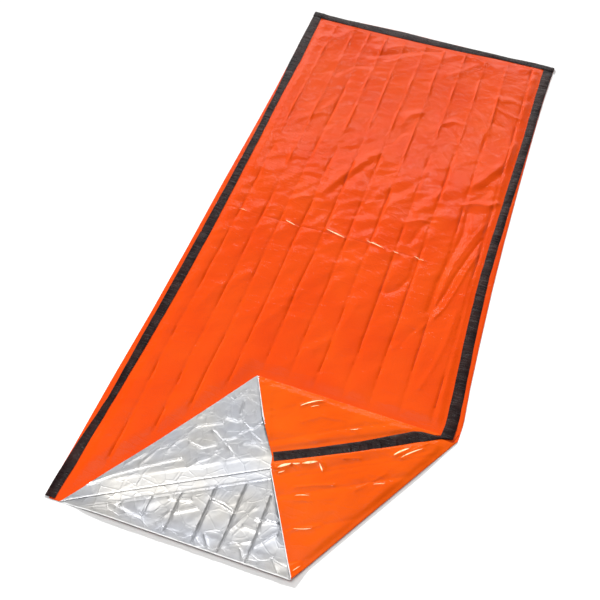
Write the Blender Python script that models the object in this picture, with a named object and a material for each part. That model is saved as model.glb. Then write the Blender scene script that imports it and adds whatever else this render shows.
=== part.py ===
"""Emergency foil sleeping bag, laid out flat with the near right corner of its mouth opened.

Two plies of foil film, a back panel under a front panel, are open at the near end. The back
panel's sides are turned up and taped edge to edge with the front panel's, and tape binds both
plies across the foot. The near right corner is pulled open: the front panel is turned back over
itself along HINGE to TIP and folded again along PEAK to TIP, and the back panel's corner is turned
up along TOE to TIP, so that the silver inside shows. The seam between them runs from C to TIP.

Lengths are metres. The bag frame, in which every size below is given, has its origin at the near
left corner, X across the bag, Y towards the foot and Z up. shift_to_centre() moves the finished
bag so that its box stands centred on the world's origin.
"""

import math

import bpy
import numpy as np
from mathutils import Vector
from mathutils.geometry import delaunay_2d_cdt

# Sheets and their levels
FILM = 0.0010  # film, as a sheet that can be handled as a solid
TAPE = 0.0010  # seam tape
GAP = 0.0003  # air between pieces that touch
SEAM_GAP = 0.0006  # between the two plies' edges under the side tapes
SEAM_CLEAR = 0.006  # the turned corner is up at its seam's level this far before the front's fold
BACK_LEVEL = FILM / 2
FRONT_LEVEL = BACK_LEVEL + FILM + GAP
TAPE_RISE = FILM / 2 + GAP + TAPE / 2  # from a film's middle to the middle of tape on it
FRONT_FOLD_RADIUS = 0.0008
BACK_FOLD_RADIUS = 0.0015
SIDE_FOLD_RADIUS = (FRONT_LEVEL - BACK_LEVEL) / 2

# The opened corner, as it lies
TIP = (0.910, 0.488)  # where all three folds meet on the right side
TOE = (0.6235, 0.000)  # near end of the back panel's fold
PEAK = (0.359, 0.497)  # highest point of the silver triangle
MOUTH_RIGHT = 0.908  # right end of the mouth before the corner was opened
TIP_TRIM = 0.042  # the folded layers stop this far short of TIP
# The seam where it runs over the turned corner, from the mouth towards TIP: x, y
TURNED_SEAM = (
    (0.4800, 0.2810),
    (0.5825, 0.3313),
    (0.6825, 0.3830),
    (0.8000, 0.4570),
    (0.8420, 0.4770),
)

# Outline as it lies: y, x
LEFT_EDGE = (
    (0.000, -0.001),
    (0.150, 0.002),
    (0.350, 0.003),
    (0.600, 0.007),
    (0.850, 0.007),
    (1.150, 0.005),
    (1.450, 0.006),
    (1.650, 0.005),
    (1.850, 0.001),
    (2.107, -0.004),
)
RIGHT_EDGE = (
    (0.488, 0.912),
    (0.550, 0.912),
    (0.650, 0.906),
    (0.800, 0.901),
    (1.000, 0.896),
    (1.200, 0.894),
    (1.450, 0.894),
    (1.700, 0.896),
    (1.900, 0.899),
    (2.093, 0.907),
)
# x, y
FOOT_EDGE = (
    (-0.004, 2.107),
    (0.120, 2.102),
    (0.240, 2.105),
    (0.340, 2.107),
    (0.450, 2.102),
    (0.600, 2.099),
    (0.750, 2.097),
    (0.840, 2.101),
    (0.907, 2.093),
)

# Seam tape as it lies. Left side and right side: y, outer x, inner x
LEFT_TAPE = (
    (0.003, -0.001, 0.0250),
    (0.100, 0.002, 0.0305),
    (0.200, 0.010, 0.0330),
    (0.300, 0.019, 0.0370),
    (0.500, 0.019, 0.0440),
    (0.700, 0.020, 0.0480),
    (0.950, 0.020, 0.0490),
    (1.150, 0.020, 0.0460),
    (1.400, 0.018, 0.0420),
    (1.600, 0.013, 0.0370),
    (1.700, 0.008, 0.0370),
    (1.800, 0.002, 0.0370),
    (1.900, 0.000, 0.0340),
    (2.060, -0.003, 0.0290),
)
RIGHT_TAPE = (
    (2.055, 0.905, 0.8710),
    (1.900, 0.898, 0.8680),
    (1.700, 0.894, 0.8670),
    (1.500, 0.889, 0.8620),
    (1.350, 0.884, 0.8590),
    (1.200, 0.881, 0.8545),
    (1.050, 0.879, 0.8525),
    (0.950, 0.881, 0.8530),
    (0.800, 0.887, 0.8575),
    (0.650, 0.894, 0.8640),
    (0.560, 0.899, 0.8675),
    (0.520, 0.899, 0.8685),
)
# The rest of the right tape, which the folds turn over: upper x, upper y, lower x, lower y
TURNED_TAPE = (
    (0.8640, 0.4830, 0.8960, 0.4825),
    (0.8580, 0.4800, 0.8660, 0.4740),
    (0.8170, 0.4785, 0.8330, 0.4555),
    (0.7950, 0.4720, 0.8080, 0.4430),
    (0.6760, 0.3960, 0.6890, 0.3700),
    (0.5760, 0.3410, 0.5890, 0.3210),
    (0.4780, 0.2930, 0.4880, 0.2710),
)
# x, inner y
FOOT_TAPE = (
    (-0.004, 2.074),
    (0.090, 2.071),
    (0.240, 2.066),
    (0.420, 2.063),
    (0.560, 2.065),
    (0.700, 2.071),
    (0.860, 2.071),
    (0.907, 2.067),
)
FOOT_TAPE_DROP = 0.0030  # how far the foot tape is turned down over the plies' edges

# Relief. The bag was packed in strips, so both plies have these creases along them.
CREASES = (0.098, 0.170, 0.230, 0.296, 0.367, 0.441, 0.513, 0.592, 0.667, 0.747, 0.833)
CREASE_LOFT = 0.0016  # how far each strip of the front panel stands up between two creases
CORNER_LOFT = 0.0012  # the same where the corner is opened
CREASE_REACH = 0.010  # half width of a crease's valley
MOST_RELIEF = 0.0032
CROSS_CREASE = 1.052
CROSS_CREASE_LOFT = 0.0012
CROSS_CREASE_REACH = 0.030
# Soft ridges: start x, start y, end x, end y, half width, height. A height below 0 is a trough.
RIDGES = (
    (0.305, 1.180, 0.385, 1.360, 0.030, 0.0024),
    (0.385, 1.360, 0.450, 1.475, 0.028, 0.0020),
    (0.470, 1.560, 0.510, 1.680, 0.026, 0.0016),
    (0.755, 1.400, 0.825, 1.560, 0.028, 0.0022),
    (0.800, 1.580, 0.835, 1.700, 0.026, 0.0014),
    (0.745, 0.900, 0.800, 1.080, 0.026, 0.0018),
    (0.790, 1.060, 0.830, 1.240, 0.024, 0.0016),
    (0.760, 1.835, 0.830, 1.850, 0.028, 0.0016),
    (0.280, 1.960, 0.360, 2.000, 0.030, 0.0020),
    (0.110, 1.960, 0.180, 2.030, 0.028, 0.0014),
    (0.620, 2.050, 0.690, 2.010, 0.026, 0.0014),
    (0.640, 0.740, 0.690, 0.860, 0.028, 0.0012),
)
RELIEF_CLEAR = 0.030  # relief dies out over this distance from tape and from the turned-back part
TAPE_CLEAR = 0.003
ROW_STEP = 0.06

# The mouth's near edge stands a little off the ground
EDGE_LIFT = 0.0030
EDGE_LIFT_REACH = 0.060
EDGE_LIFT_START = 0.080
EDGE_LIFT_FULL = 0.220

SIDE_SEAM_START = 0.530  # the right side's seam lies flat from here to the foot

ORANGE = (0.90, 0.105, 0.012, 1.0)
TAPE_BLACK = (0.022, 0.016, 0.018, 1.0)


def angle_at_tip(point):
    """Direction from TIP to the point, as an angle that falls from the seam round to PEAK."""
    angle = math.atan2(point[1] - TIP[1], point[0] - TIP[0])
    return angle - math.tau if angle > 0 else angle


# The hinge is set so that both plies' seam edges come to lie along one line from TIP.
OPENED_ANGLE = angle_at_tip(TOE) - angle_at_tip((MOUTH_RIGHT, 0.0))
HINGE_ANGLE = angle_at_tip(PEAK) - OPENED_ANGLE
HINGE = (TIP[0] - TIP[1] / math.tan(HINGE_ANGLE), 0.0)


def smooth(share):
    """0 to 1 with level ends, for shares from 0 to 1."""
    share = np.clip(share, 0.0, 1.0)
    return share * share * (3.0 - 2.0 * share)


def along(rows, at, column=1):
    """A table's column where its first column is at."""
    rows = np.array(sorted(rows))
    return np.interp(at, rows[:, 0], rows[:, column])


def roll(side, height, radius, over=1):
    """(side, height) once what lies at a side below 0 is rolled back over what lies above 0.

    Over is 1 where it rolls up and -1 where it rolls down.
    """
    angle = np.clip(-side / radius, 0.0, math.pi)
    reach = radius - over * height
    arc = math.pi * radius
    new_side = np.where(side < -arc, -side - arc, np.where(side < 0, -reach * np.sin(angle), side))
    return new_side, np.where(side < 0, over * (radius - reach * np.cos(angle)), height)


class Fold:
    """A fold line in a flat sheet. What lies right of start to end is rolled over to the left."""

    def __init__(self, start, end, radius, over):
        self.start = np.array(start, float)
        self.length = math.dist(start, end)
        self.way = (np.array(end, float) - self.start) / self.length
        self.left = np.array((-self.way[1], self.way[0]))
        self.radius = radius
        self.over = over

    def mirror(self, point):
        """The point's image across the line."""
        offset = (np.array(point, float) - self.start) @ self.left
        return np.array(point, float) - 2.0 * offset * self.left

    def at(self, run, offset):
        """The point this far along the line and this far left of it."""
        return self.start + run * self.way + offset * self.left

    def roll_lines(self, first, last, steps=4, pieces=6):
        """Lines of points along the roll, from the run first to the run last."""
        runs = np.linspace(first, last, pieces + 1)
        offsets = [-math.pi * self.radius * step / steps for step in range(steps + 1)]
        return [[self.at(run, offset) for run in runs] for offset in offsets]

    def unfold(self, point):
        """Where a point of the folded flap was in the flat sheet."""
        offset = np.array(point, float) - self.start
        return self.at(offset @ self.way, -(offset @ self.left) - math.pi * self.radius)

    def side(self, points):
        return (points[:, :2] - self.start) @ self.left

    def apply(self, points):
        """Points, each x, y and height off the sheet's middle, as they lie after folding."""
        run = (points[:, :2] - self.start) @ self.way
        side, height = roll(self.side(points), points[:, 2], self.radius, self.over)
        plan = self.start + run[:, None] * self.way + side[:, None] * self.left
        return np.column_stack((plan, height))


FRONT_HINGE_FOLD = Fold(HINGE, TIP, FRONT_FOLD_RADIUS, over=1)
PEAK_FLAT = FRONT_HINGE_FOLD.mirror(PEAK)  # where PEAK was on the cut edge
FRONT_PEAK_FOLD = Fold(PEAK_FLAT, TIP, FRONT_FOLD_RADIUS, over=-1)
BACK_FOLD = Fold(TOE, TIP, BACK_FOLD_RADIUS, over=1)
SEAM_LEVEL = FRONT_LEVEL + 4 * FRONT_FOLD_RADIUS  # middle of the front panel's top layer


def distance_to_segment(points, start, end):
    start, end = np.array(start, float), np.array(end, float)
    way = end - start
    share = np.clip(((points - start) @ way) / (way @ way), 0.0, 1.0)
    return np.linalg.norm(points - start - share[:, None] * way, axis=1)


def inside(points, outline):
    """Which points a closed outline holds."""
    held = np.zeros(len(points), bool)
    for a, b in zip(outline, outline[1:] + outline[:1]):
        spans = (a[1] > points[:, 1]) != (b[1] > points[:, 1])
        rise = (b[1] - a[1]) or 1e-12
        crossing = a[0] + (points[:, 1] - a[1]) * (b[0] - a[0]) / rise
        held ^= spans & (points[:, 0] < crossing)
    return held


def edge_distance(points, outline):
    edges = zip(outline, outline[1:] + outline[:1])
    return np.min([distance_to_segment(points, a, b) for a, b in edges], axis=0)


def fill(outline, lines, points, clear):
    """(places, triangles) of a flat sheet with edges along the lines and corners at the points."""
    points = np.array(points, float).reshape(-1, 2)
    keep = inside(points, outline) & (edge_distance(points, outline) > clear)
    for line in lines:
        for a, b in zip(line, line[1:]):
            keep &= distance_to_segment(points, a, b) > clear
    places = [tuple(p) for p in outline]
    edges = []
    for line in lines:
        first = len(places)
        places += [tuple(p) for p in line]
        edges += [(i, i + 1) for i in range(first, len(places) - 1)]
    places += [tuple(p) for p in points[keep]]
    rim = list(range(len(outline)))
    found = delaunay_2d_cdt([Vector(p) for p in places], edges, [rim], 1, 1e-6)
    places, triangles = np.array([tuple(p) for p in found[0]]), np.array(found[2])
    corners = places[triangles]
    side_a, side_b = corners[:, 1] - corners[:, 0], corners[:, 2] - corners[:, 0]
    turned = side_a[:, 0] * side_b[:, 1] - side_a[:, 1] * side_b[:, 0] < 0
    triangles[turned] = triangles[turned][:, ::-1]
    used, triangles = np.unique(triangles, return_inverse=True)
    return places[used], triangles.reshape(-1, 3)


def rim_of(triangles):
    """The directed edges that only one triangle has."""
    edges = {(int(a), int(b)) for t in triangles for a, b in ((t[0], t[1]), (t[1], t[2]), (t[2], t[0]))}
    return [(a, b) for a, b in edges if (b, a) not in edges]


def add_object(name, points, faces, material):
    mesh = bpy.data.meshes.new(name)
    mesh.from_pydata([tuple(map(float, p)) for p in points], [], [tuple(map(int, f)) for f in faces])
    mesh.materials.append(material)
    mesh.shade_smooth()
    mesh.set_sharp_from_angle(angle=math.radians(35))
    made = bpy.data.objects.new(name, mesh)
    bpy.context.scene.collection.objects.link(made)
    return made


def add_sheet(name, places, triangles, shape, material):
    """A sheet FILM thick. shape places x, y and height off the sheet's middle in the bag frame."""
    upper = shape(np.column_stack((places, np.full(len(places), FILM / 2))))
    lower = shape(np.column_stack((places, np.full(len(places), -FILM / 2))))
    count = len(places)
    faces = list(triangles) + list(triangles[:, ::-1] + count)
    for a, b in sorted(rim_of(triangles)):
        faces += [(b, a, a + count), (b, a + count, b + count)]
    return add_object(name, np.vstack((upper, lower)), faces, material)


def add_loft(name, sections, material):
    """A closed strip through sections of equal point count, each turning the same way."""
    size = len(sections[0])
    points = [point for section in sections for point in section]
    faces = []
    for row in range(len(sections) - 1):
        for i in range(size):
            j = (i + 1) % size
            a, b = row * size + i, row * size + j
            faces += [(a, b, b + size), (a, b + size, a + size)]
    last = len(points) - size
    faces.append(tuple(range(size))[::-1])
    faces.append(tuple(range(last, last + size)))
    return add_object(name, points, faces, material)


def edge_lift(points):
    """Height that the mouth's near edge adds at each place."""
    across = smooth((points[:, 0] - EDGE_LIFT_START) / (EDGE_LIFT_FULL - EDGE_LIFT_START))
    return EDGE_LIFT * across * smooth(1.0 - points[:, 1] / EDGE_LIFT_REACH)


def crease_columns():
    """Each crease, both sides of its valley and the middle of each strip between two."""
    stops = np.array((0.036, *CREASES, 0.880))
    middles = (stops[1:] + stops[:-1]) / 2
    return sorted((*(stops - CREASE_REACH), *stops, *(stops + CREASE_REACH), *middles))


def strip_loft(x):
    """0 in a crease, rising steeply beside it to 1 in the middle of a strip."""
    stops = np.array((0.036, *CREASES, 0.880))
    strip = np.clip(np.searchsorted(stops, x) - 1, 0, len(stops) - 2)
    half = (stops[strip + 1] - stops[strip]) / 2
    from_crease = np.clip(half - np.abs(x - stops[strip] - half), 0.0, None)
    valley = 0.62 * np.clip(from_crease / CREASE_REACH, 0.0, 1.0)
    crown = 0.38 * np.clip((from_crease - CREASE_REACH) / (half - CREASE_REACH), 0.0, 1.0)
    return valley + crown * (2.0 - crown / 0.38)


def corner_loft(flat, *distances):
    """Relief of an opened part of the corner, dying out where one of the distances ends."""
    fade = [smooth(d / RELIEF_CLEAR) for d in distances]
    return CORNER_LOFT * strip_loft(flat[:, 0]) * np.prod(fade, axis=0)


def beyond_flap(plan):
    """How far outside the turned-back flap each place on the lying front panel is."""
    return np.maximum(Fold(HINGE, PEAK, 0, 1).side(plan), Fold(PEAK, TIP, 0, 1).side(plan))


def front_relief(plan):
    """Height that creases and soft ridges give the front panel, level under tape and folds."""
    x, y = plan[:, 0], plan[:, 1]
    height = CREASE_LOFT * strip_loft(x)
    height += CROSS_CREASE_LOFT * np.exp(-(((y - CROSS_CREASE) / CROSS_CREASE_REACH) ** 2))
    for x0, y0, x1, y1, half_width, rise in RIDGES:
        away = distance_to_segment(plan, (x0, y0), (x1, y1))
        height += rise * np.exp(-((away / half_width) ** 2))
    left = smooth((x - along(LEFT_TAPE, y, 2) - TAPE_CLEAR) / RELIEF_CLEAR)
    right = smooth((along(RIGHT_TAPE, y, 2) - x - TAPE_CLEAR) / RELIEF_CLEAR)
    foot = smooth((along(FOOT_TAPE, x) - y - TAPE_CLEAR) / RELIEF_CLEAR)
    near = smooth((beyond_flap(plan) - 0.010) / RELIEF_CLEAR)
    return np.clip(height, 0.0, MOST_RELIEF) * left * right * foot * near


def side_points(place, first, last, step=0.15):
    """Points along one side between two heights, x from place(y)."""
    heights = np.linspace(first, last, max(2, round(abs(last - first) / step) + 1))
    return [(float(place(y)), float(y)) for y in heights]


def left_fold(y):
    """Where the back panel's left side starts to turn up."""
    return along(LEFT_EDGE, y) + SIDE_FOLD_RADIUS + FILM / 2


def right_fold(y):
    return along(RIGHT_EDGE, y) - SIDE_FOLD_RADIUS - FILM / 2


def left_seam(y):
    return (along(LEFT_TAPE, y, 1) + along(LEFT_TAPE, y, 2)) / 2


def right_seam(y):
    return (along(RIGHT_TAPE, y, 1) + along(RIGHT_TAPE, y, 2)) / 2


def left_back_edge(y):
    """The back panel's cut edge, laid out flat."""
    return 2 * left_fold(y) - left_seam(y) + SEAM_GAP / 2 - math.pi * SIDE_FOLD_RADIUS


def right_back_edge(y):
    return 2 * right_fold(y) - right_seam(y) - SEAM_GAP / 2 + math.pi * SIDE_FOLD_RADIUS


def foot_points(first, last, inset=TAPE + GAP):
    """The plies' far edge between two x places."""
    between = [x for x, _ in FOOT_EDGE if min(first, last) < x < max(first, last)]
    if first > last:
        between.reverse()
    return [(x, float(along(FOOT_EDGE, x)) - inset) for x in (first, *between, last)]


def grid(columns, rows):
    return [(x, y) for x in columns for y in rows]


def beside_seam(points, offset):
    """The points moved off TURNED_SEAM's line, to its left."""
    way = np.array(points[-1]) - np.array(points[0])
    left = np.array((-way[1], way[0])) / np.linalg.norm(way)
    return [np.array(p) + offset * left for p in points]


def build_back_panel(material):
    """The lower ply: flat on the ground, its sides turned up and its near right corner opened."""
    far = float(along(FOOT_EDGE, 0.5))
    turned = [tuple(BACK_FOLD.unfold(p)) for p in beside_seam(TURNED_SEAM, -SEAM_GAP / 2)]
    near = [(float(left_back_edge(0.0)), 0.0), (0.05, 0.0), (0.2, 0.0), (0.4, 0.0), TOE]
    near += [(0.76, 0.0), (MOUTH_RIGHT, -0.001)]
    tip = [(MOUTH_RIGHT, TIP[1] - 0.020), (float(right_fold(0.505)), 0.505)]
    right = side_points(right_back_edge, SIDE_SEAM_START, far - 0.02)
    # The turned-up sides end level with the cloth that they come to lie on.
    right_end = (float(right_back_edge(far)), foot_points(right_seam(far), 0.0)[0][1])
    left_end = (float(left_back_edge(far)), foot_points(left_seam(far), 1.0)[0][1])
    top = [right_end, *foot_points(right_fold(far), left_fold(far)), left_end]
    left = side_points(left_back_edge, far - 0.02, 0.0)[:-1]
    outline = near + turned + tip + right + top + left
    lines = BACK_FOLD.roll_lines(-0.002, BACK_FOLD.length - 0.010, pieces=8)
    for step in range(5):
        arc = math.pi * SIDE_FOLD_RADIUS * step / 4
        lines.append(side_points(lambda y, arc=arc: left_fold(y) - arc, -0.001, far + 0.01))
        lines.append(side_points(lambda y, arc=arc: right_fold(y) + arc, SIDE_SEAM_START, far + 0.01))
    for inset in (0.000, 0.014, 0.050):
        lines.append([(MOUTH_RIGHT - inset, y) for y in np.linspace(0.010, TIP[1] - 0.038 - 2.2 * inset, 9)])
    hinge = FRONT_HINGE_FOLD
    lines.append([hinge.at(run, 0.0) for run in np.linspace(0.03, hinge.length - 0.03, 25)])
    low = grid(crease_columns(), (0.02, 0.04, 0.08, 0.13, 0.19, 0.25, 0.32, 0.39))
    low = [p for p in low if hinge.side(np.array([p]))[0] < 0.010]
    high = grid(np.arange(0.09, 0.90, 0.18), np.arange(0.60, 2.05, 0.20))
    places, triangles = fill(outline, lines, low + high, clear=0.006)

    def shape(points):
        lying = BACK_FOLD.apply(points)
        turned = BACK_FOLD.side(points) < -math.pi * BACK_FOLD_RADIUS
        angle = np.arctan2(lying[:, 1] - TIP[1], lying[:, 0] - TIP[0])
        to_tip = np.linalg.norm(lying[:, :2] - np.array(TIP), axis=1)
        climb_angle = HINGE_ANGLE - angle_at_tip(TOE) + SEAM_CLEAR / (to_tip + SEAM_CLEAR)
        share = smooth((angle - angle_at_tip(TOE)) / climb_angle) * smooth(to_tip / TIP_TRIM)
        climb = SEAM_LEVEL - BACK_LEVEL - 2 * BACK_FOLD_RADIUS
        lying[:, 2] += np.where(turned, climb * share, 0.0)
        side = BACK_FOLD.side(points)
        below_hinge = -hinge.side(lying)
        on_ground = corner_loft(points, side, below_hinge, left_clear(points))
        on_top = corner_loft(points, -side - 0.005, below_hinge, to_tip - TIP_TRIM)
        lying[:, 2] += np.where(side > 0, on_ground, on_top)
        x, y, height = points.T
        left_x, left_height = roll(x - left_fold(y), height, SIDE_FOLD_RADIUS)
        right_x, right_height = roll(right_fold(y) - x, height, SIDE_FOLD_RADIUS)
        at_left = x < left_fold(y)
        at_right = (x > right_fold(y)) & (y > TIP[1])
        lying[at_left, 0] = (left_fold(y) + left_x)[at_left]
        lying[at_left, 2] = left_height[at_left]
        lying[at_right, 0] = (right_fold(y) - right_x)[at_right]
        lying[at_right, 2] = right_height[at_right]
        lying[:, 2] += BACK_LEVEL + edge_lift(lying)
        return lying

    add_sheet("back_panel", places, triangles, shape, material)


def left_clear(points):
    """How far the points are from the left tape."""
    return points[:, 0] - along(LEFT_TAPE, points[:, 1], 2)


def build_front_panel(material):
    """The upper ply: laid on the back panel and folded twice at its near right corner."""
    far = float(along(FOOT_EDGE, 0.5))

    def left_edge(y):
        return left_seam(y) + SEAM_GAP / 2

    def right_edge(y):
        return right_seam(y) - SEAM_GAP / 2

    seam = beside_seam(TURNED_SEAM, SEAM_GAP / 2)
    turned = [tuple(FRONT_PEAK_FOLD.unfold(FRONT_HINGE_FOLD.unfold(p))) for p in seam]
    near = [(float(left_edge(0.0)), 0.0), HINGE, (0.16, 0.006), (0.30, 0.011), (0.46, 0.013)]
    near += [tuple(PEAK_FLAT), (0.76, 0.006)]
    notch = [
        tuple(FRONT_PEAK_FOLD.at(FRONT_PEAK_FOLD.length - TIP_TRIM, 0.0)),
        tuple(FRONT_HINGE_FOLD.at(FRONT_HINGE_FOLD.length - TIP_TRIM, 0.0002)),
        tuple(FRONT_HINGE_FOLD.at(FRONT_HINGE_FOLD.length - 0.012, 0.0002)),
    ]
    right = [(float(along(RIGHT_EDGE, 0.505)) - 0.005, 0.505)]
    right += side_points(right_edge, SIDE_SEAM_START, far - 0.02)
    top = foot_points(right_edge(far), left_edge(far))
    outline = near + turned + notch + right + top + side_points(left_edge, far - 0.02, 0.0)[:-1]
    lines = FRONT_HINGE_FOLD.roll_lines(-0.004, FRONT_HINGE_FOLD.length - TIP_TRIM, pieces=10)
    lines += FRONT_PEAK_FOLD.roll_lines(-0.004, FRONT_PEAK_FOLD.length - TIP_TRIM, pieces=6)
    field = np.array(grid(crease_columns(), np.arange(0.05, 2.03, ROW_STEP)))
    field = list(field[beyond_flap(field) > 0.008])
    lines.append([(0.10, 0.082), (0.17, 0.178), (0.24, 0.275), (0.31, 0.372), (0.355, 0.434)])
    lines.append(side_points(lambda y: along(LEFT_TAPE, y, 2) + TAPE_CLEAR, 0.003, 2.06, 0.05))
    lines.append(side_points(lambda y: along(RIGHT_TAPE, y, 2) - TAPE_CLEAR, 0.53, 2.06, 0.05))
    lines.append([(x, float(along(FOOT_TAPE, x)) - TAPE_CLEAR) for x in np.linspace(0.05, 0.84, 17)])
    flap = grid(crease_columns(), (0.03, 0.07, 0.12, 0.18, 0.24, 0.31, 0.38))
    flap = [p for p in flap if FRONT_HINGE_FOLD.side(np.array([p]))[0] < -0.006]
    places, triangles = fill(outline, lines, field + flap, clear=0.006)
    cut = Fold(PEAK, TURNED_SEAM[0], FRONT_FOLD_RADIUS, over=1)
    seam_line = Fold(TURNED_SEAM[0], TURNED_SEAM[-1], FRONT_FOLD_RADIUS, over=1)

    def shape(points):
        turned = FRONT_HINGE_FOLD.side(points) < 0
        folded = np.where(turned[:, None], FRONT_PEAK_FOLD.apply(points), points)
        lying = FRONT_HINGE_FOLD.apply(folded)
        twice = turned & (FRONT_PEAK_FOLD.side(points) < 0)
        above_hinge = FRONT_HINGE_FOLD.side(lying)
        once_lying = corner_loft(points, above_hinge, -cut.side(lying) - 0.004)
        peak_side = -FRONT_PEAK_FOLD.side(points) - 0.004
        tape_side = seam_line.side(lying) - 0.016
        to_tip = np.linalg.norm(lying[:, :2] - np.array(TIP), axis=1)
        twice_lying = corner_loft(points, peak_side, tape_side, to_tip - TIP_TRIM)
        corner = np.where(twice, twice_lying, once_lying)
        lying[:, 2] += FRONT_LEVEL + edge_lift(lying)
        lying[:, 2] += np.where(turned, corner, front_relief(lying[:, :2]))
        return lying

    add_sheet("front_panel", places, triangles, shape, material)


def strip_section(outer, inner, level):
    """Four corners of a strip's section between two plan points, around the level."""
    (x0, y0), (x1, y1) = outer, inner
    low, high = level - TAPE / 2, level + TAPE / 2
    return [(x0, y0, low), (x1, y1, low), (x1, y1, high), (x0, y0, high)]


def build_left_tape(material):
    level = FRONT_LEVEL + TAPE_RISE
    sections = [strip_section((inner, y), (outer, y), level) for y, outer, inner in LEFT_TAPE]
    add_loft("seam_tape_left", sections, material)


def build_right_tape(material):
    """Down the right side on the flat front panel, then up onto the turned-over corner's edge."""
    flat, turned = FRONT_LEVEL + TAPE_RISE, SEAM_LEVEL + TAPE_RISE
    sections = [strip_section((inner, y), (outer, y), flat) for y, outer, inner in RIGHT_TAPE]
    for x0, y0, x1, y1 in TURNED_TAPE:
        sections.append(strip_section((x0, y0), (x1, y1), turned))
    add_loft("seam_tape_right", sections, material)


def build_foot_tape(material):
    """Across the foot, turned down over the edges of both plies."""
    level = FRONT_LEVEL + TAPE_RISE
    low, high = level - TAPE / 2, level + TAPE / 2
    sections = []
    for x in sorted({x for x, _ in (*FOOT_TAPE, *FOOT_EDGE)}):
        inner, edge = float(along(FOOT_TAPE, x)), float(along(FOOT_EDGE, x))
        bottom = high - FOOT_TAPE_DROP
        profile = [(inner, low), (edge - TAPE, low), (edge - TAPE, bottom), (edge, bottom)]
        profile += [(edge, high - TAPE / 2), (edge - TAPE / 2, high), (inner, high)]
        sections.append([(float(x), y, z) for y, z in profile])
    add_loft("seam_tape_foot", sections, material)


def make_material(name, colour, roughness, metallic):
    material = bpy.data.materials.new(name)
    material.use_nodes = True
    shader = material.node_tree.nodes["Principled BSDF"]
    shader.inputs["Base Color"].default_value = colour
    shader.inputs["Roughness"].default_value = roughness
    shader.inputs["Metallic"].default_value = metallic
    return material


def shift_to_centre():
    """Centres the bag's box on the world's origin, standing on Z = 0."""
    corners = np.array([v.co[:] for o in bpy.data.objects for v in o.data.vertices])
    low, high = corners.min(axis=0), corners.max(axis=0)
    offset = Vector(((low[0] + high[0]) / 2, (low[1] + high[1]) / 2, low[2]))
    for bag_piece in bpy.data.objects:
        for vertex in bag_piece.data.vertices:
            vertex.co -= offset


def main():
    for old in list(bpy.data.objects):
        bpy.data.objects.remove(old, do_unlink=True)
    film_back = make_material("foil_film_back", ORANGE, 0.35, 0.0)
    film_front = make_material("foil_film_front", ORANGE, 0.35, 0.0)
    build_back_panel(film_back)
    build_front_panel(film_front)
    build_left_tape(make_material("tape_left", TAPE_BLACK, 0.45, 0.0))
    build_right_tape(make_material("tape_right", TAPE_BLACK, 0.45, 0.0))
    build_foot_tape(make_material("tape_foot", TAPE_BLACK, 0.45, 0.0))
    shift_to_centre()


main()
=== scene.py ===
"""The looks of the emergency foil sleeping bag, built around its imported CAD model.

Sizes are in metres, and in millimetres inside the tables that in_metres() takes. The bag frame has
its origin at the near left corner, X across the bag, Y towards the foot and Z up; add_closed() moves
each piece from there into the model's own frame.
"""

import math

import bpy
import numpy as np
from mathutils import Euler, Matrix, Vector
from mathutils.geometry import delaunay_2d_cdt


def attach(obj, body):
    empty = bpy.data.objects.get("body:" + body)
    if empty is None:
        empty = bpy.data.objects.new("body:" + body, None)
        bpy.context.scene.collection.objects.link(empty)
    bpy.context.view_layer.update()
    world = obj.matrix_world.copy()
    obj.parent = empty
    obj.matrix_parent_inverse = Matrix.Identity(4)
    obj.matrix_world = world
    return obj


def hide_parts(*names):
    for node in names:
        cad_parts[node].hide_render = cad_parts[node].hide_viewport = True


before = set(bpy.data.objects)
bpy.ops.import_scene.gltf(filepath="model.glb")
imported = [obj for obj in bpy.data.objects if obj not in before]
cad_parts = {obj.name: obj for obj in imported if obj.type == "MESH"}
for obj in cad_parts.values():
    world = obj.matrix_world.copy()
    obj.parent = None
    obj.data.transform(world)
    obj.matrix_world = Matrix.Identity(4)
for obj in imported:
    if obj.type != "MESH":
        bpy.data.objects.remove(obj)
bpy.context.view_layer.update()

BAG_TO_MODEL = np.array((-0.4540, -1.0534, 0.0))


def in_metres(rows):
    """The same table with its millimetres as metres."""
    return tuple(in_metres(row) if isinstance(row, tuple) else row / 1000 for row in rows)


# Film and tape, thinner than in the CAD model
FILM = 0.0003
TAPE_THICK = 0.0004
# Levels of the sheets' middles and radii of their folds, as in the CAD model
BACK_LEVEL = 0.0005
FRONT_LEVEL = 0.0018
FRONT_RADIUS = 0.0008
BACK_RADIUS = 0.0015
SIDE_RADIUS = (FRONT_LEVEL - BACK_LEVEL) / 2
SEAM_LEVEL = FRONT_LEVEL + 4 * FRONT_RADIUS
# How far layers stand off each other at the two big folds, at the mouth and along its near edge
HINGE_SPRING = 0.0024
FOLD_SPRING = 0.0024
MOUTH_LOFT = 0.0022
EDGE_LIFT = 0.0070
EDGE_LIFT_REACH = 0.050
# Material slots of the film. The last one is a painted highlight: the glints on the sharpest folds, painted
# pale orange
# The slot for the opened corner is painted light: the same orange film painted a lighter orange, for that
# corner's brighter look
ORANGE, SILVER, EDGE, OPENED, PAINTED_GLINT = range(5)

# The opened corner, as in the CAD model
TIP = (0.910, 0.488)
TOE = (0.6235, 0.000)
PEAK = (0.359, 0.497)
MOUTH_RIGHT = 0.908
TIP_TRIM = 0.042  # the folded layers end this far before TIP
TURNED_SEAM = in_metres((
    (480, 281), (582.5, 331.3), (682.5, 383), (800, 457), (842, 477),
))
SEAM_GAP = 0.0006  # between the two plies' edges under a side tape
SEAM_CLEAR = 0.006  # the turned corner is up at its seam's level this far before the front's fold
SIDE_SEAM_START = 0.530  # beyond this y the right seam lies flat
BARE_RIM_END = 0.300  # the film's rim shows its metal up to here, and is orange beyond
TIP_REACH = 0.080  # round TIP the layers are pressed together, and only orange shows
# How wide the bare film is along the front panel's mouth: x, width
LIP = in_metres((
    (52, 4.5), (160, 9.5), (300, 14.5), (460, 16.5), (630, 15.5), (760, 9.2), (880, 3.5),
))

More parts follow.
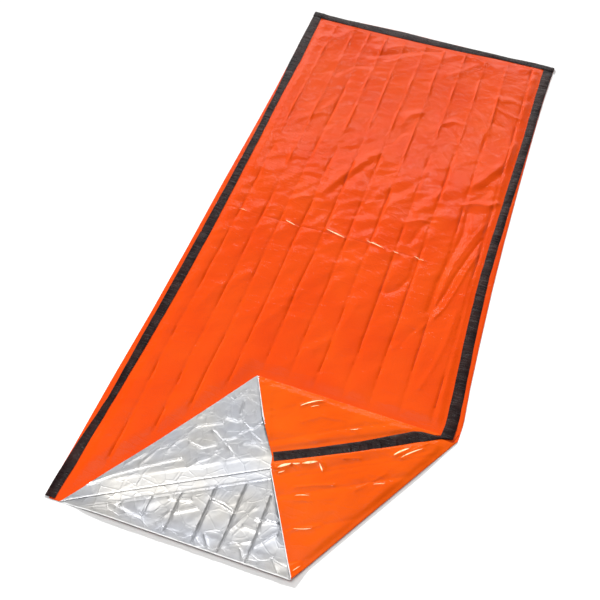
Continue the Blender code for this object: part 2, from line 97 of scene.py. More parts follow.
# Outline and tapes, as in the CAD model. Rows of the two sides: y, x of the edge
LEFT_EDGE = in_metres((
    (0, -1), (150, 2), (350, 3), (600, 7), (850, 7), (1150, 5), (1450, 6), (1650, 5), (1850, 1),
    (2107, -4),
))
RIGHT_EDGE = in_metres((
    (488, 912), (550, 912), (650, 906), (800, 901), (1000, 896), (1200, 894), (1450, 894),
    (1700, 896), (1900, 899), (2093, 907),
))
# x, y of the foot's edge
FOOT_EDGE = in_metres((
    (-4, 2107), (120, 2102), (240, 2105), (340, 2107), (450, 2102), (600, 2099), (750, 2097),
    (840, 2101), (907, 2093),
))
# y, outer x, inner x
LEFT_TAPE = in_metres((
    (3, -1, 25), (100, 2, 30.5), (200, 10, 33), (300, 19, 37), (500, 19, 44), (700, 20, 48),
    (950, 20, 49), (1150, 20, 46), (1400, 18, 42), (1600, 13, 37), (1700, 8, 37), (1800, 2, 37),
    (1900, 0, 34), (2060, -3, 29),
))
RIGHT_TAPE = in_metres((
    (2055, 905, 871), (1900, 898, 868), (1700, 894, 867), (1500, 889, 862), (1350, 884, 859),
    (1200, 881, 854.5), (1050, 879, 852.5), (950, 881, 853), (800, 887, 857.5), (650, 894, 864),
    (560, 899, 867.5), (520, 899, 868.5),
))
# The right tape where it runs over the opened corner: inner x, y, outer x, y
TURNED_TAPE = in_metres((
    (864, 483, 896, 482.5), (858, 480, 866, 474), (817, 478.5, 833, 455.5), (795, 472, 808, 443),
    (676, 396, 689, 370), (576, 341, 589, 321), (478, 293, 488, 271),
))
# x, inner y
FOOT_TAPE = in_metres((
    (-4, 2074), (90, 2071), (240, 2066), (420, 2063), (560, 2065), (700, 2071), (860, 2071),
    (907, 2067),
))
# Where the long creases run: x, and y of the one across
CREASES = (0.098, 0.170, 0.230, 0.296, 0.367, 0.441, 0.513, 0.592, 0.667, 0.747, 0.833)
STOPS = (0.036, *CREASES, 0.880)  # the creases, and the tapes on both sides of them
CROSS_CREASE = 1.044
# How far from the mouth the crease at each stop turns from a valley into a ridge
CREASE_TURNS = (9.0, 1.40, 1.25, 1.80, 1.45, 1.50, 1.50, 1.33, 1.50, 1.55, 1.65, 9.0, 9.0)


def smooth(share):
    share = np.clip(share, 0.0, 1.0)
    return share * share * (3.0 - 2.0 * share)


def along(rows, at, column=1):
    rows = np.array(sorted(rows))
    return np.interp(at, rows[:, 0], rows[:, column])


def hashed(i, j, seed):
    """A fixed number from 0 to 1 for each pair of whole numbers."""
    n = (i.astype(np.int64) * 374761393 + j.astype(np.int64) * 668265263 + seed * 974634777) & 0xFFFFFFFF
    n = ((n ^ (n >> 13)) * 1274126177) & 0xFFFFFFFF
    n = ((n ^ (n >> 16)) * 2246822519) & 0xFFFFFFFF
    return (n ^ (n >> 15)) / 0xFFFFFFFF


def soft_noise(plan, cell, seed):
    """Smooth noise from -1 to 1 with lumps about a cell wide. cell may be (x, y)."""
    grid_at = plan / np.array(cell)
    low = np.floor(grid_at).astype(int)
    part = smooth(grid_at - low)
    i, j = low[:, 0], low[:, 1]
    near = hashed(i, j, seed) * (1 - part[:, 0]) + hashed(i + 1, j, seed) * part[:, 0]
    far = hashed(i, j + 1, seed) * (1 - part[:, 0]) + hashed(i + 1, j + 1, seed) * part[:, 0]
    return 2.0 * (near * (1 - part[:, 1]) + far * part[:, 1]) - 1.0


def facets(plan, cell, seed):
    """Height from 0 to 1 of a crumpled sheet: flat facets about a cell wide between sharp creases."""
    grid_at = plan / np.array(cell)
    low = np.floor(grid_at).astype(int)
    found = np.full(len(plan), 0.5)
    done = np.zeros(len(plan), bool)

    def corner(i, j):
        x = i + 0.15 + 0.7 * hashed(i, j, seed)
        y = j + 0.15 + 0.7 * hashed(i, j, seed + 1)
        return np.column_stack((x, y)), hashed(i, j, seed + 2)

    for di in (0, -1, 1):
        for dj in (0, -1, 1):
            i, j = low[:, 0] + di, low[:, 1] + dj
            first, *others = (corner(i + a, j + b) for a, b in ((0, 0), (1, 0), (1, 1), (0, 1)))
            for second, third in zip(others, others[1:]):
                (pa, ha), (pb, hb), (pc, hc) = first, second, third
                ab, ac, ap = pb - pa, pc - pa, grid_at - pa
                area = cross(ab, ac)
                area = np.where(np.abs(area) < 1e-9, 1e-9, area)
                u, v = cross(ap, ac) / area, cross(ab, ap) / area
                hit = ~done & (u >= -1e-6) & (v >= -1e-6) & (u + v <= 1 + 1e-6)
                height = ha + u * (hb - ha) + v * (hc - ha)
                found[hit] = height[hit]
                done |= hit
    return found


def turned(plan, angle):
    c, s = math.cos(angle), math.sin(angle)
    return plan @ np.array(((c, -s), (s, c)))


def cross(a, b):
    return a[:, 0] * b[:, 1] - a[:, 1] * b[:, 0]


def from_segment(points, start, end):
    start, end = np.array(start, float), np.array(end, float)
    way = end - start
    share = np.clip(((points - start) @ way) / (way @ way), 0.0, 1.0)
    return np.linalg.norm(points - start - share[:, None] * way, axis=1)


def from_line(points, line):
    return np.min([from_segment(points, a, b) for a, b in zip(line, line[1:])], axis=0)


def creased(plan, rows):
    """Height that a table of creases gives. Row: half width, height, points of its line."""
    height = np.zeros(len(plan))
    for half_width, rise, *line in rows:
        away = from_line(plan, line)
        near = away < 5 * half_width
        height[near] += rise * np.exp(-((away[near] / half_width) ** 1.5))
    return height


def roll(side, height, radius, over=1):
    """(side, height) once what lies at a side below 0 is rolled back over what lies above 0."""
    angle = np.clip(-side / radius, 0.0, math.pi)
    reach = radius - over * height
    arc = math.pi * radius
    new_side = np.where(side < -arc, -side - arc, np.where(side < 0, -reach * np.sin(angle), side))
    return new_side, np.where(side < 0, over * (radius - reach * np.cos(angle)), height)


class Fold:
    """A fold in a flat sheet. What lies right of start to end is turned over to the left.

    over is 1 where it comes to lie on top and -1 where it comes to lie beneath.
    """

    def __init__(self, start, end, radius, over):
        self.start = np.array(start, float)
        self.length = math.dist(start, end)
        self.way = (np.array(end, float) - self.start) / self.length
        self.left = np.array((-self.way[1], self.way[0]))
        self.radius = radius
        self.over = over

    def mirror(self, point):
        offset = (np.array(point, float) - self.start) @ self.left
        return np.array(point, float) - 2.0 * offset * self.left

    def at(self, run, offset):
        return self.start + run * self.way + offset * self.left

    def roll_lines(self, first, last, step=0.006):
        runs = np.linspace(first, last, round((last - first) / step) + 1)
        offsets = [-math.pi * self.radius * i / 4 for i in range(5)]
        return [[self.at(run, offset) for run in runs] for offset in offsets]

    def unfold(self, points):
        """Where points of the folded flap were in the flat sheet."""
        offset = np.array(points, float) - self.start
        run, side = offset @ self.way, -(offset @ self.left) - math.pi * self.radius
        return self.start + np.multiply.outer(run, self.way) + np.multiply.outer(side, self.left)

    def side(self, points):
        return (points[:, :2] - self.start) @ self.left

    def apply(self, points):
        run = (points[:, :2] - self.start) @ self.way
        side, height = roll(self.side(points), points[:, 2], self.radius, self.over)
        plan = self.start + run[:, None] * self.way + side[:, None] * self.left
        return np.column_stack((plan, height))


def angle_at_tip(point):
    angle = math.atan2(point[1] - TIP[1], point[0] - TIP[0])
    return angle - math.tau if angle > 0 else angle


OPENED_ANGLE = angle_at_tip(TOE) - angle_at_tip((MOUTH_RIGHT, 0.0))
HINGE_ANGLE = angle_at_tip(PEAK) - OPENED_ANGLE
HINGE = (TIP[0] - TIP[1] / math.tan(HINGE_ANGLE), 0.0)
HINGE_FOLD = Fold(HINGE, TIP, FRONT_RADIUS, over=1)
PEAK_FLAT = HINGE_FOLD.mirror(PEAK)
PEAK_FOLD = Fold(PEAK_FLAT, TIP, FRONT_RADIUS, over=-1)
BACK_FOLD = Fold(TOE, TIP, BACK_RADIUS, over=1)
# Lines that only say on which side of them a place lies: the flap's two sides, the mouth's edge
# above and below the turned seam, and that seam
FLAP_LEFT = Fold(HINGE, PEAK, 0, 1)
FLAP_FAR = Fold(PEAK, TIP, 0, 1)
CUT = Fold(PEAK, TURNED_SEAM[0], 0, 1)
TURNED_MOUTH = Fold(TURNED_SEAM[0], TOE, 0, 1)
TURNED_SEAM_LINE = Fold(TURNED_SEAM[0], TURNED_SEAM[-1], 0, 1)


def beyond_flap(plan):
    """How far outside the turned-back flap each place on the lying front panel is."""
    return np.maximum(FLAP_LEFT.side(plan), FLAP_FAR.side(plan))


def from_tip(plan):
    return np.linalg.norm(plan - np.array(TIP), axis=1)


# Meshing


def inside(points, outline):
    held = np.zeros(len(points), bool)
    for a, b in zip(outline, outline[1:] + outline[:1]):
        spans = (a[1] > points[:, 1]) != (b[1] > points[:, 1])
        rise = (b[1] - a[1]) or 1e-12
        held ^= spans & (points[:, 0] < a[0] + (points[:, 1] - a[1]) * (b[0] - a[0]) / rise)
    return held


def densified(line, step):
    """The line with points at most a step apart."""
    out = [tuple(line[0])]
    for a, b in zip(line, line[1:]):
        pieces = max(1, math.ceil(math.dist(a, b) / step))
        for k in range(1, pieces + 1):
            out.append(tuple(np.array(a) + (np.array(b) - np.array(a)) * k / pieces))
    return out


def clear_of(points, lines, gap):
    """Which points are farther than the gap from every line, found on a fine raster."""
    cell = gap / 2
    low = points.min(axis=0) - 4 * gap
    shape = np.ceil((points.max(axis=0) + 4 * gap - low) / cell).astype(int) + 1
    near = np.zeros(shape, bool)
    for line in lines:
        fine = np.array(densified(line, cell))
        at = np.round((fine - low) / cell).astype(int)
        ok = ((at >= 2) & (at < shape - 2)).all(axis=1)
        for di in (-2, -1, 0, 1, 2):
            for dj in (-2, -1, 0, 1, 2):
                if di * di + dj * dj <= 5:
                    near[at[ok, 0] + di, at[ok, 1] + dj] = True
    at = np.round((points - low) / cell).astype(int)
    return ~near[at[:, 0], at[:, 1]]


def fill(outline, lines, points, gap):
    """(places, triangles) of a flat sheet with edges along the lines and corners at the points."""
    points = points[inside(points, outline)]
    points = points[clear_of(points, [*lines, outline + outline[:1]], gap)]
    _, kept = np.unique(np.round(points / gap), axis=0, return_index=True)
    points = points[np.sort(kept)]
    places = [tuple(p) for p in outline]
    edges = []
    for line in lines:
        first = len(places)
        places += [tuple(p) for p in line]
        edges += [(i, i + 1) for i in range(first, len(places) - 1)]
    places += [tuple(p) for p in points]
    found = delaunay_2d_cdt([Vector(p) for p in places], edges, [list(range(len(outline)))], 1, 1e-6)
    places, triangles = np.array([tuple(p) for p in found[0]]), np.array(found[2])
    corners = places[triangles]
    flipped = cross(corners[:, 1] - corners[:, 0], corners[:, 2] - corners[:, 0]) < 0
    triangles[flipped] = triangles[flipped][:, ::-1]
    used, triangles = np.unique(triangles, return_inverse=True)
    return places[used], triangles.reshape(-1, 3)


def hex_points(box, step, jitter=0.25, seed=1):
    """Points about a step apart over the box (x0, y0, x1, y1)."""
    x0, y0, x1, y1 = box
    rows = np.arange(y0, y1, step * 0.866)
    columns = np.arange(x0, x1, step)
    x, y = np.meshgrid(columns, rows)
    x[1::2] += step / 2
    i, j = np.meshgrid(np.arange(len(columns)), np.arange(len(rows)))
    x = x + (hashed(i, j, seed) - 0.5) * step * jitter
    y = y + (hashed(i, j, seed + 9) - 0.5) * step * jitter
    return np.column_stack((x.ravel(), y.ravel()))


def rim_of(faces):
    """The directed edges that only one face has."""
    sides = faces.shape[1]
    edges = np.concatenate([faces[:, [k, (k + 1) % sides]] for k in range(sides)])
    size = faces.max() + 1
    forward, backward = edges[:, 0] * size + edges[:, 1], edges[:, 1] * size + edges[:, 0]
    return edges[~np.isin(forward, backward)]


def add_closed(name, node, upper, lower, faces, materials, slots, sharp=40):
    """The piece that stands for a CAD node: two like surfaces, closed by a wall along their rim.

    slots holds the material slots of the upper faces, of the lower faces and of the wall.
    """
    rim = rim_of(faces)
    wall = np.column_stack((rim[:, 1], rim[:, 0], rim[:, 0] + len(upper), rim[:, 1] + len(upper)))
    everything = [*faces, *(faces[:, ::-1] + len(upper)), *wall]
    sizes = [len(face) for face in everything]
    mesh = bpy.data.meshes.new(name)
    mesh.vertices.add(len(upper) + len(lower))
    mesh.vertices.foreach_set("co", (np.vstack((upper, lower)) + BAG_TO_MODEL).ravel())
    mesh.loops.add(sum(sizes))
    mesh.loops.foreach_set("vertex_index", np.concatenate(everything).astype(np.int32))
    mesh.polygons.add(len(everything))
    starts = np.concatenate(([0], np.cumsum(sizes)[:-1]))
    mesh.polygons.foreach_set("loop_start", starts.astype(np.int32))
    for material in materials:
        mesh.materials.append(material)
    mesh.polygons.foreach_set("material_index", np.concatenate(slots).astype(np.int32))
    mesh.update(calc_edges=True)
    mesh.shade_smooth()
    mesh.set_sharp_from_angle(angle=math.radians(sharp))
    piece = bpy.data.objects.new(name, mesh)
    bpy.context.scene.collection.objects.link(piece)
    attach(piece, "root")
    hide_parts(node)
    return piece


def add_film(name, node, flat, shape, paint, materials):
    """A sheet of film. paint() gives the material slots of its upper and of its lower faces."""
    places, triangles = flat
    upper, lower = (shape(np.column_stack((places, np.full(len(places), height))))
                    for height in (FILM / 2, -FILM / 2))
    middles = places[rim_of(triangles)].mean(axis=1)
    edge = np.where((from_tip(middles) < TIP_REACH) | (middles[:, 1] > BARE_RIM_END), ORANGE, EDGE)
    slots = [*paint(places[triangles].mean(axis=1)), edge]
    return add_closed(name, node, upper, lower, triangles, materials, slots)


# Relief

# Creases and soft ridges of the front panel: half width, height, points of the line
FIELD_CREASES = in_metres((
    (14, 3.2, (312, 1195), (334, 1242), (358, 1298), (384, 1350), (410, 1405), (438, 1430)),
    (10, -1.8, (340, 1205), (364, 1262), (395, 1325), (428, 1385)),
    (10, 1.8, (236, 1140), (262, 1160), (290, 1168)),
    (10, -1.6, (462, 1500), (476, 1545), (490, 1575)),
    (11, 2.2, (468, 1590), (482, 1655), (508, 1672)),
    (14, 3.2, (752, 1392), (782, 1437), (808, 1487), (832, 1535), (842, 1630)),
    (12, -2, (785, 1388), (812, 1440), (832, 1490)),
    (16, -2.4, (268, 1922), (300, 1930), (350, 1963), (400, 1994), (450, 2014), (512, 2038)),
    (22, 2.6, (275, 1958), (320, 1982), (365, 2012)),
    (12, -1.8, (285, 2040), (350, 2045), (420, 2036)),
    (10, 2.4, (425, 2058), (448, 2052)),
    (13, -2, (655, 2048), (720, 2052), (780, 2046)),
    (14, 2.2, (632, 2036), (680, 2022)),
    (14, 2.4, (752, 1838), (795, 1848), (832, 1842)),
    (8, 1.8, (755, 1790), (790, 1776), (832, 1768)),
    (12, -1.8, (758, 1715), (800, 1706)),
    (14, 2.2, (700, 1735), (735, 1700), (748, 1655)),
    (10, 2, (600, 1652), (630, 1675), (663, 1668)),
    (12, -1.8, (608, 1640), (636, 1618), (655, 1600)),
    (9, -2.6, (658, 1030), (660, 963), (639, 909), (615, 887)),
    (9, -2.4, (667, 1204), (641, 1158), (628, 1088)),
    (6, 1.8, (592, 1165), (633, 1191), (679, 1198)),
    (6, 2.4, (745, 1301), (773, 1319), (819, 1325), (846, 1350)),
    (11, -2.8, (765, 1328), (797, 1359), (806, 1393)),
    (16, 1.8, (520, 1210), (580, 1300), (600, 1390)),
    (12, 1.4, (460, 1205), (505, 1290)),
    (14, 1.4, (620, 1230), (672, 1340)),
    (16, 2.2, (110, 1960), (150, 2000), (175, 2040)),
    (14, 1.8, (560, 1900), (610, 1960), (640, 2000)),
    (12, -1.4, (180, 1780), (230, 1840), (290, 1860)),
    (14, 1.6, (130, 1500), (190, 1560), (225, 1640)),
    (12, 1.4, (300, 640), (345, 720), (360, 800)),
    (14, 1.6, (120, 640), (150, 740), (215, 820)),
    (12, 1.4, (470, 620), (520, 700), (545, 820)),
))
# The fan of long folds beside the right tape
FAN_CREASES = in_metres((
    (7.5, 1.8, (822, 1240), (794, 1147), (769, 1054), (757, 953), (750, 898)),
    (5, -1.6, (826, 1180), (806, 1105), (784, 1018), (770, 937), (754, 877)),
    (5, 1.6, (829, 1120), (810, 1040), (796, 960), (780, 890), (760, 845)),
    (8, 1.4, (770, 865), (735, 795), (703, 745), (675, 700)),
    (8, -2.6, (764, 1280), (770, 1180), (756, 1080), (741, 970), (740, 860)),
    (6, -1.8, (838, 1320), (833, 1236), (834, 1151), (836, 1090)),
    (9, 1.8, (816, 890), (809, 753), (793, 665), (776, 600)),
    (7, -1.6, (721, 782), (696, 731)),
))
# Short folds that lean across the cross crease, raised a little and painted pale along their length as a
# painted highlight of their glints: x from, x to, y from, y to, height, half width
CROSS_DASHES = in_metres((
    (97, 122, 1047, 1042, 1.6, 0.8),
    (246, 281, 1049, 1038, 2.2, 1.6),
    (373, 437, 1055, 1041, 3, 2.5),
    (501, 560, 1053, 1040, 2.8, 2.2),
    (586, 606, 1043, 1039, 1.6, 0.8),
    (650, 683, 1045, 1037, 2, 1.3),
))
# The silver flap, as it lies
FLAP_CREASES = in_metres((
    (2.6, 1.8, (72, 53.5), (130, 103.5), (196, 151), (239, 180), (270, 199)),
    (3.3, 1.7, (332, 346), (362, 346), (373, 361)),
    (2.6, 1.7, (373, 352), (398, 338), (407, 338), (428, 368)),
    (2.6, 1.3, (398, 334), (380, 315.5)),
    (2.6, 1.1, (403, 327), (444, 309)),
    (3.3, 1.8, (316, 299.5), (350.5, 279), (391, 252)),
    (2.6, 1.5, (378, 302), (350.5, 284)),
    (2.6, 1.5, (275, 249.5), (307, 245), (337, 265.5)),
    (3.3, 1.5, (357, 258.6), (334.5, 224.5), (311, 206), (291, 173)),
    (2.6, 1.3, (357, 410), (362, 372)),
    (4.6, 1.5, (150, 145), (180, 185)),
    (4.6, 1.4, (270, 330), (280, 380)),
    (3.3, 1.4, (230, 215), (270, 300), (330, 330)),
    (3.3, 1.3, (180, 150), (205, 205), (262, 262)),
    (3.3, 1.4, (300, 420), (330, 400), (352, 440)),
    (3.3, 1.3, (400, 290), (430, 300), (462, 292)),
))
# The silver inside of the back panel in front of the hinge
MOUTH_CREASES = in_metres((
    (2.4, -1.7, (179, 35), (180, 85)),
    (2.4, -1.4, (240, 30), (241, 112)),
    (2.4, -1.7, (307, 10), (306, 135)),
    (2.8, -2.3, (378, 6), (379, 173)),
    (2.4, -1.8, (444.5, 6), (446, 210)),
    (2.4, -1.7, (514.5, 0), (513, 185)),
    (2.8, 2.1, (380, 128), (416, 123), (443.6, 114)),
    (2.8, 1.8, (498, 114), (514, 114)),
    (2.8, 1.8, (525, 119), (553, 121)),
    (3.5, 1.6, (489, 144), (470, 108), (453, 71)),
    (3.5, 1.8, (557, 94), (521, 50)),
    (3.5, 1.6, (357, 94), (309.5, 64)),
    (3.5, 1.6, (300, 64), (282, 28)),
    (3.5, 1.6, (285, 95), (335, 107)),
    (4.2, 1.8, (139, 40), (228, 21)),
    (2.8, 1.5, (398, 39), (425.5, 0)),
    (2.8, 1.5, (491, 32), (512, 0)),
    (2.8, 1.5, (569, 34.5), (594, 3)),
    (5.6, 1.8, (466, 35), (507, 60)),
    (4.9, 1.6, (480, 87), (516, 87)),
))
# The opened orange corner: the front's part above the tape and the back's part below it
PEAK_CREASES = in_metres((
    (5, 2.2, (500, 445), (555, 475)),
    (4, 1.8, (640, 420), (658, 418)),
    (6, 1.8, (420, 430), (440, 370), (455, 330)),
    (5, 1.6, (520, 400), (560, 430), (620, 440)),
))
RIDGE_CREASES = in_metres((
    (3, 3, (488, 262), (512, 244)),
    (3, 2.4, (515, 285), (545, 270)),
    (4, 3, (590, 312), (612, 298)),
    (3, 2.2, (650, 335), (690, 350)),
    (4, 3, (770, 385), (805, 415), (840, 450)),
    (4, 2.6, (560, 220), (600, 240), (650, 260)),
    (4, 2.4, (580, 110), (612, 128), (650, 150)),
    (3.5, 2, (612, 30), (632, 50)),
    (4.5, 2, (545, 180), (610, 200)),
    (4.5, 2, (700, 260), (760, 330)),
))
# Folds of the opened corner as it lies, above and below the tape, raised a little and painted pale as a
# painted highlight of their glints: rows as in CROSS_DASHES
PEAK_DASHES = in_metres((
    (499, 552, 441.5, 480, 2.2, 1.9),
    (526, 545, 448.5, 460.5, 1.2, 0.9),
    (642, 662, 417.8, 428.1, 1.2, 0.8),
))
RIDGE_DASHES = in_metres((
    (503, 532, 255.5, 276.9, 2.2, 3.4),
    (534, 552, 277.9, 285.5, 1.6, 1.8),
    (556, 592, 286.5, 305, 2, 3),
    (597, 611, 301.9, 283.8, 1.6, 1.8),
    (509, 523, 243, 255, 1.2, 1.2),
    (765, 798, 385.7, 418.7, 2.2, 2.5),
    (784, 831, 385.3, 429.8, 2, 1.6),
    (738, 767, 292.2, 303.6, 1.2, 0.7),
    (566, 602, 199, 211.6, 1.2, 0.8),
    (590, 633, 120.3, 135.4, 1.4, 0.9),
    (623, 636, 21.1, 40.6, 1.2, 0.8),
))


def crease_points(rows, step=0.0026):
    """Mesh points on and beside the short creases, so that each one is drawn sharply."""
    out = []
    for half_width, _, *line in rows:
        spine = np.array(densified(line, step))
        way = np.gradient(spine, axis=0)
        way /= np.linalg.norm(way, axis=1)[:, None]
        left = np.column_stack((-way[:, 1], way[:, 0]))
        for share in (0.0, -0.5, 0.5, -1.0, 1.0, -1.7, 1.7):
            out.append(spine + share * half_width * left)
    return np.vstack(out)


def crease_wander(index, y):
    """How far a long crease strays sideways from its straight line."""
    at = np.column_stack((np.full(np.shape(y), index * 7.3), np.asarray(y, float)))
    return 0.0022 * soft_noise(at, (1.0, 0.16), 31) + 0.0010 * soft_noise(at, (1.0, 0.05), 32)


def dash_side(dash, side):
    """One side of a dash's outline, from end to end."""
    x0, x1, y0, y1, _, half_width = dash
    start, way = np.array((x0, y0)), np.array((x1 - x0, y1 - y0))
    left = np.array((-way[1], way[0]))
    width = math.sin(3000 * x0) * 0.055 + side * half_width / math.hypot(*way)
    bow = [(t, math.sin(math.pi * t) ** 0.7) for t in np.linspace(0.0, 1.0, 11)]
    return [tuple(start + t * way + width * rise * left) for t, rise in bow]


def dash_relief(plan, dashes):
    height = np.zeros(len(plan))
    for x0, x1, y0, y1, rise, _ in dashes:
        height += rise * np.exp(-((from_segment(plan, (x0, y0), (x1, y1)) / 0.0045) ** 1.5))
    return height


def dash_lines(dashes, unfold=np.array):
    return [list(unfold(dash_side(dash, side))) for dash in dashes for side in (-1, 1)]


def painted_glint_faces(centres, dashes, unfold=np.array):
    """Which faces of the flat sheet lie inside the outline of a dash, to be painted pale as a painted
    highlight.
    """
    glinting = np.zeros(len(centres), bool)
    for dash in dashes:
        outline = unfold(np.array(dash_side(dash, -1) + dash_side(dash, 1)[::-1]))
        glinting |= inside(centres, [tuple(p) for p in outline])
    return glinting


def cross_wander(x):
    return 0.0025 * soft_noise(np.column_stack((x, np.zeros(len(x)))), (0.09, 9.0), 6)


def strip_relief(plan, loft, valley):
    """Strips standing a little up between the long creases; towards the foot the creases stand up."""
    x, y = plan[:, 0], plan[:, 1]
    height = np.full(len(plan), loft)
    for index, stop in enumerate(STOPS):
        away = np.abs(x - stop - crease_wander(index, y))
        at = np.column_stack((np.full(len(plan), index * 3.1), y))
        depth = np.clip(0.60 + 0.55 * soft_noise(at, (1.0, 0.07), 33), 0.3, 1.2)
        sink = 1.0 - 1.85 * smooth((y - CREASE_TURNS[index] + 0.08) / 0.16)
        height -= sink * (valley * depth * np.exp(-away / 0.0027) + loft * np.exp(-away / 0.014))
    return height


def rumple(plan, coarse, fine, seed):
    """Crumpled film: facets of two sizes, each at its own angle. coarse and fine are their heights."""
    large = facets(turned(plan, 0.5), (0.052, 0.034), seed)
    middle = facets(turned(plan, -0.4), (0.019, 0.024), seed + 20)
    return coarse * large + fine * middle


def field_relief(plan):
    """Height of the front panel above its level: none under tape, folds or the turned flap."""
    x, y = plan[:, 0], plan[:, 1]
    rough = 0.65 + 0.60 * smooth((y - 0.55) / 0.60) - 0.45 * smooth((y - 1.30) / 0.25)
    height = 0.0018 + strip_relief(plan, 0.0013, 0.0030)
    height += 0.0014 * soft_noise(plan, (0.11, 0.21), 3) + 0.0007 * soft_noise(plan, (0.045, 0.08), 4)
    height += 1.2 * creased(plan, FIELD_CREASES)
    height += 1.2 * creased(plan, FAN_CREASES) + dash_relief(plan, CROSS_DASHES)
    cross = np.abs(y - CROSS_CREASE - cross_wander(x))
    height -= 0.0020 * np.exp(-cross / 0.0030) * (0.55 + 0.45 * soft_noise(plan, (0.05, 9.0), 7))
    fan = np.min([from_line(plan, line) for _, _, *line in FAN_CREASES], axis=0)
    height += rough * (0.35 + 0.65 * smooth(fan / 0.03)) * rumple(plan, 0.0028, 0.0015, 40)
    left = smooth((x - along(LEFT_TAPE, y, 2)) / 0.028)
    right = smooth((along(RIGHT_TAPE, y, 2) - x) / 0.028)
    foot = smooth((along(FOOT_TAPE, x) - y) / 0.028)
    near = smooth((beyond_flap(plan) - 0.004) / 0.045)
    return np.maximum(height, 0.0) * left * right * foot * near


def lift(points, turned_over):
    """Height that layers share: the raised near edge and the spring of the two big folds."""
    across = smooth((points[:, 0] - 0.03) / 0.14)
    edge = EDGE_LIFT * across * smooth(1.0 - points[:, 1] / EDGE_LIFT_REACH)
    away = HINGE_FOLD.side(points)
    run = (points[:, :2] - np.array(HINGE)) @ HINGE_FOLD.way
    window = smooth((run - 0.02) / 0.12) * smooth((HINGE_FOLD.length - 0.10 - run) / 0.20)
    above = 1.0 + np.clip(away / 0.030, 0.0, 1.0) - 1.5 * smooth((away - 0.035) / 0.12)
    hidden = 1.0 - smooth(away / 0.030)
    rise = np.where(away < 0, np.maximum(0.0, 1.0 + away / 0.024), np.where(turned_over, above, hidden))
    fold_away = np.abs(BACK_FOLD.side(points))
    fold_run = (points[:, :2] - np.array(TOE)) @ BACK_FOLD.way
    fold = smooth(1.0 - fold_away / 0.045) * smooth((BACK_FOLD.length - 0.03 - fold_run) / 0.12)
    return edge + HINGE_SPRING * rise * window + FOLD_SPRING * fold


# Panels


class Side:
    """One long side of the bag. inward is 1 on the left side and -1 on the right."""

    def __init__(self, edge, tape, inward):
        self.edge = edge
        self.tape = tape
        self.inward = inward

    def fold(self, y):
        """Where the back panel turns up."""
        return along(self.edge, y) + self.inward * (SIDE_RADIUS + FILM / 2)

    def seam(self, y):
        return (along(self.tape, y, 1) + along(self.tape, y, 2)) / 2

    def front_edge(self, y):
        return self.seam(y) + self.inward * SEAM_GAP / 2

    def back_edge(self, y):
        """The back panel's edge, laid flat beyond its fold."""
        return 2 * self.fold(y) - self.seam(y) + self.inward * (SEAM_GAP / 2 - math.pi * SIDE_RADIUS)


LEFT = Side(LEFT_EDGE, LEFT_TAPE, 1)
RIGHT = Side(RIGHT_EDGE, RIGHT_TAPE, -1)
FAR = along(FOOT_EDGE, 0.5)


def side_points(place, first, last, step=0.02, shift=0.0):
    heights = np.linspace(first, last, max(2, round(abs(last - first) / step) + 1))
    return [(place(y) + shift, y) for y in heights]


def foot_points(first, last, inset=0.0013):
    between = [x for x, _ in FOOT_EDGE if min(first, last) < x < max(first, last)]
    if first > last:
        between.reverse()
    return [(x, along(FOOT_EDGE, x) - inset) for x in (first, *between, last)]


def beside_seam(offset):
    way = np.array(TURNED_SEAM[-1]) - np.array(TURNED_SEAM[0])
    left = np.array((-way[1], way[0])) / np.linalg.norm(way)
    return [np.array(p) + offset * left for p in TURNED_SEAM]


def field_points(y_from, y_to, step=0.0072):
    """Mesh points of the flat field in columns beside each long crease, closest in its valley."""
    columns = []
    for index, (a, b) in enumerate(zip(STOPS, STOPS[1:])):
        half = (b - a) / 2
        offsets = [o for o in (0.0020, 0.0048, 0.0095, 0.0160, 0.0240) if o < half - 0.004] + [half]
        columns += [(index, a + o) for o in offsets] + [(index + 1, b - o) for o in offsets[:-1]]
    out = []
    for place, (index, x) in enumerate(columns):
        rows = np.concatenate((np.arange(y_from, 0.93, step * 1.25), np.arange(0.93, y_to, step)))
        rows = rows + (place % 2) * step / 2
        out.append(np.column_stack((x + crease_wander(index, rows), rows)))
    return np.vstack(out)


def unfolded_twice(points):
    return PEAK_FOLD.unfold(HINGE_FOLD.unfold(points))


def within(points, *sides):
    """The points that lie left of every (fold, distance)."""
    keep = np.ones(len(points), bool)
    for fold, distance in sides:
        keep &= fold.side(points) > distance
    return points[keep]


def front_outline():
    seam = unfolded_twice(beside_seam(SEAM_GAP / 2))
    near = [(LEFT.front_edge(0.0), 0.0), HINGE, (0.16, 0.006), (0.30, 0.011), (0.46, 0.013)]
    near += [PEAK_FLAT, (0.76, 0.006), seam[0]]
    notch = [
        PEAK_FOLD.at(PEAK_FOLD.length - TIP_TRIM, 0.0),
        HINGE_FOLD.at(HINGE_FOLD.length - TIP_TRIM, 0.0002),
        HINGE_FOLD.at(HINGE_FOLD.length - 0.012, 0.0002),
        (along(RIGHT_EDGE, 0.505) - 0.005, 0.505),
    ]
    outline = densified(near, 0.005) + densified([*seam, *notch], 0.008)[1:]
    outline += side_points(RIGHT.front_edge, SIDE_SEAM_START, FAR - 0.01)
    outline += densified(foot_points(RIGHT.front_edge(FAR), LEFT.front_edge(FAR)), 0.02)
    return outline + side_points(LEFT.front_edge, FAR - 0.01, 0.0)[:-1]


